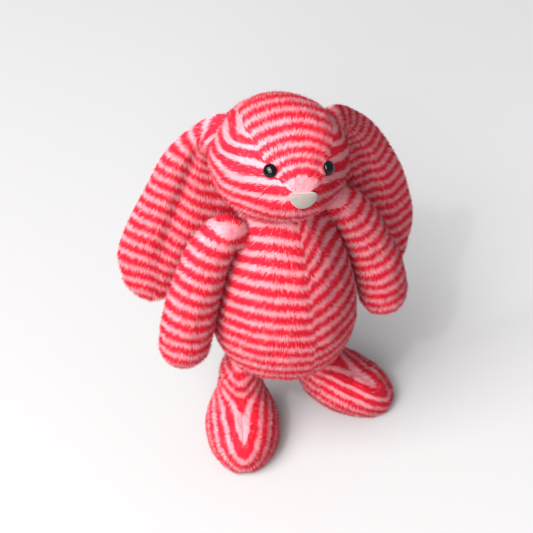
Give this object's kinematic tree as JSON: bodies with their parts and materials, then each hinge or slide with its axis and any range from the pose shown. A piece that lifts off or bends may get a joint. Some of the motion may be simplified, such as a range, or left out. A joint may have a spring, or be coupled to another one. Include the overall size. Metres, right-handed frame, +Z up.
{
  "type": "stuffed toy rabbit",
  "caption": "Standing plush rabbit with long hanging ears, stubby arms, splayed feet, a round tail, a velveteen nose and bead eyes; head, ears, arms, legs and tail swing on sewn seams.",
  "frame": {"origin": "on the floor, under the middle of the box round the whole toy", "axes": "+Z up, -Y out of the front of the body, +X towards the rabbit's own left"},
  "size_m": [0.2218, 0.1336, 0.287],
  "materials": {
    "red_plush": "short dense pile, matte",
    "pink_plush": "short dense pile, matte",
    "polyester_fibre": "loose white fibre",
    "bean_bag_cloth": "plain thin cloth",
    "nose_velveteen": "short velvet nap",
    "black_gloss_plastic": "polished",
    "washer_plastic": "moulded, plain"
  },
  "bodies": {
    "torso": {"torso_stuffing": "polyester_fibre", "seat_bean_bag": "bean_bag_cloth", "body_front_right": "red_plush", "body_front_left": "pink_plush", "body_back_left": "red_plush", "body_back_right": "pink_plush"},
    "head": {"head_stuffing": "polyester_fibre", "forehead_gusset": "pink_plush", "head_side_right": "red_plush", "head_side_left": "red_plush", "head_back": "red_plush", "nose_patch": "nose_velveteen", "eye_right": "black_gloss_plastic", "eye_left": "black_gloss_plastic", "eye_washer_right": "washer_plastic", "eye_washer_left": "washer_plastic"},
    "ear_right": {"ear_right_inner": "pink_plush", "ear_right_outer": "red_plush"},
    "ear_left": {"ear_left_inner": "pink_plush", "ear_left_outer": "red_plush"},
    "arm_right": {"arm_right_front": "red_plush", "arm_right_back": "pink_plush", "arm_right_stuffing": "polyester_fibre"},
    "arm_left": {"arm_left_front": "red_plush", "arm_left_back": "pink_plush", "arm_left_stuffing": "polyester_fibre"},
    "leg_right": {"leg_right_outer": "red_plush", "leg_right_inner": "pink_plush", "leg_right_stuffing": "polyester_fibre", "foot_bean_bag_right": "bean_bag_cloth", "sole_right": "pink_plush"},
    "leg_left": {"leg_left_outer": "pink_plush", "leg_left_inner": "red_plush", "leg_left_stuffing": "polyester_fibre", "foot_bean_bag_left": "bean_bag_cloth", "sole_left": "pink_plush"},
    "tail": {"tail_cover": "pink_plush", "tail_stuffing": "polyester_fibre"}
  },
  "joints": [
    {"name": "head_nod", "type": "hinge", "parent": "torso", "child": "head", "pos_m": [-0.01237, -0.01358, 0.208], "axis": [0.9743, -0.2251, 0], "range_deg": [-3, 20], "stiffness_Nm_per_rad": 0.5},
    {"name": "ear_right_lift", "type": "hinge", "parent": "head", "child": "ear_right", "pos_m": [-0.04423, 0.00984, 0.27684], "axis": [0, 1, 0], "range_deg": [0, 70]},
    {"name": "ear_left_lift", "type": "hinge", "parent": "head", "child": "ear_left", "pos_m": [0.0276, -0.00675, 0.26648], "axis": [0, -1, 0], "range_deg": [0, 70]},
    {"name": "arm_right_swing", "type": "hinge", "parent": "torso", "child": "arm_right", "pos_m": [-0.05737, -0.01158, 0.196], "axis": [-1, 0, 0], "range_deg": [-6, 95], "stiffness_Nm_per_rad": 0.08},
    {"name": "arm_left_swing", "type": "hinge", "parent": "torso", "child": "arm_left", "pos_m": [0.03263, -0.01358, 0.194], "axis": [-1, 0, 0], "range_deg": [-6, 95], "stiffness_Nm_per_rad": 0.08},
    {"name": "leg_right_swing", "type": "hinge", "parent": "torso", "child": "leg_right", "pos_m": [-0.04337, -0.00658, 0.054], "axis": [-1, 0, 0], "range_deg": [-20, 60], "stiffness_Nm_per_rad": 1},
    {"name": "leg_left_swing", "type": "hinge", "parent": "torso", "child": "leg_left", "pos_m": [0.01863, -0.00658, 0.054], "axis": [-1, 0, 0], "range_deg": [-20, 60], "stiffness_Nm_per_rad": 1},
    {"name": "tail_wag", "type": "hinge", "parent": "torso", "child": "tail", "pos_m": [-0.01237, 0.03442, 0.092], "axis": [0, 0, 1], "range_deg": [-12, 12], "stiffness_Nm_per_rad": 0.02}
  ]
}
